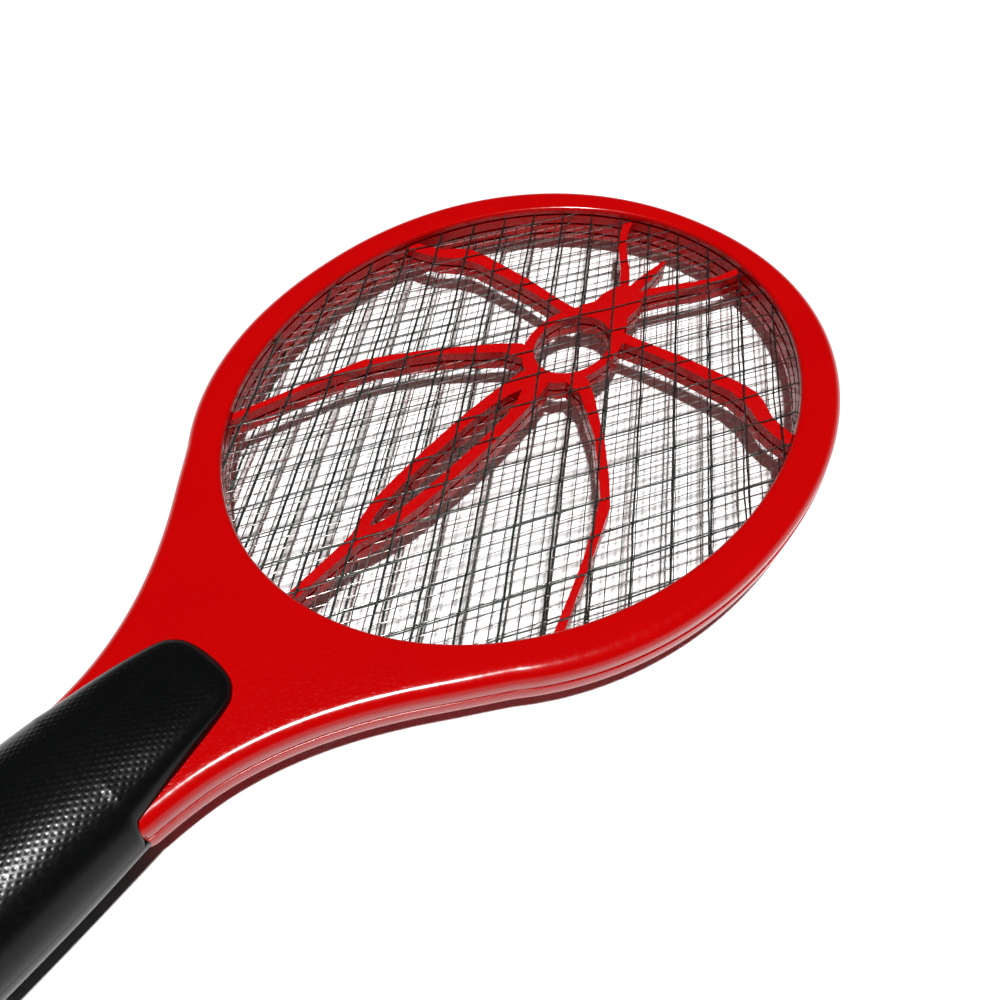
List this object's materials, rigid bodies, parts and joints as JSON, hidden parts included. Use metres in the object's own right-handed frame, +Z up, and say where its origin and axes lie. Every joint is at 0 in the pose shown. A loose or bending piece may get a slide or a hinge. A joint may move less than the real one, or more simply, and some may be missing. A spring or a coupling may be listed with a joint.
{
  "type": "electric_fly_swatter",
  "caption": "Oval racket head with a rhombic wire grid stack and insect-shaped spacers, on a tapered battery handle with a knurled grip tongue.",
  "frame": {"origin": "Middle of the whole length, on the racket's long axis, on the table plane under the handle's belly.", "axes": "X across the head to the right, Y along the racket from the butt to the head's tip, Z up out of the front face."},
  "size_m": [0.1716, 0.4519, 0.0279],
  "materials": {
    "red_plastic": "moulded, satin gloss, grained on the neck",
    "black_plastic": "moulded, satin, knurled top",
    "dark_plastic": "moulded",
    "white_plastic": "moulded",
    "grid_wire": "dull welded wire",
    "fine_wire": "bright drawn wire",
    "zinc_steel": "zinc plated",
    "tinned_metal": "tinned",
    "lamp_resin": "cast diffused resin",
    "board_green": "solder mask",
    "ferrite": "sintered",
    "copper_coil": "enamelled winding",
    "capacitor_brown": "dipped",
    "resistor_body": "lacquered",
    "cell_sleeve": "shrink sleeve",
    "red_insulation": "extruded",
    "black_insulation": "extruded"
  },
  "bodies": {
    "racket": {"front_frame": "red_plastic", "back_frame": "red_plastic", "front_grid": "grid_wire", "middle_grid": "fine_wire", "back_grid": "grid_wire", "front_spacer": "red_plastic", "back_spacer": "red_plastic", "frame_screws": "zinc_steel", "front_grip": "black_plastic", "back_grip": "black_plastic", "grip_screws": "zinc_steel", "switch_body": "dark_plastic", "indicator_led": "lamp_resin", "led_leads": "tinned_metal", "circuit_board": "board_green", "transformer_core": "ferrite", "transformer_coil": "copper_coil", "transistor": "dark_plastic", "rectifier_diodes": "dark_plastic", "film_capacitors": "capacitor_brown", "storage_capacitor": "capacitor_brown", "resistors": "resistor_body", "battery_tray": "dark_plastic", "battery_cells": "cell_sleeve", "contact_springs": "tinned_metal", "contact_plates": "tinned_metal", "outer_lead": "red_insulation", "centre_lead": "black_insulation", "battery_leads": "red_insulation", "grid_clips": "tinned_metal"},
    "button": {"push_button": "red_plastic"},
    "plunger": {"switch_plunger": "white_plastic"},
    "door": {"battery_door": "black_plastic"}
  },
  "joints": [
    {"name": "button_press", "type": "slide", "parent": "racket", "child": "button", "axis": [0, 0, -1], "range_m": [0, 0.0012], "stiffness_N_per_m": 400, "springref_m": -0.002},
    {"name": "plunger_press", "type": "slide", "parent": "racket", "child": "plunger", "axis": [0, 0, -1], "range_m": [0, 0.0012]},
    {"name": "door_slide", "type": "slide", "parent": "racket", "child": "door", "axis": [0, -1, 0], "range_m": [0, 0.11]}
  ],
  "couplings": [
    {"joint": "plunger_press", "follows": "button_press", "ratio": 1}
  ]
}
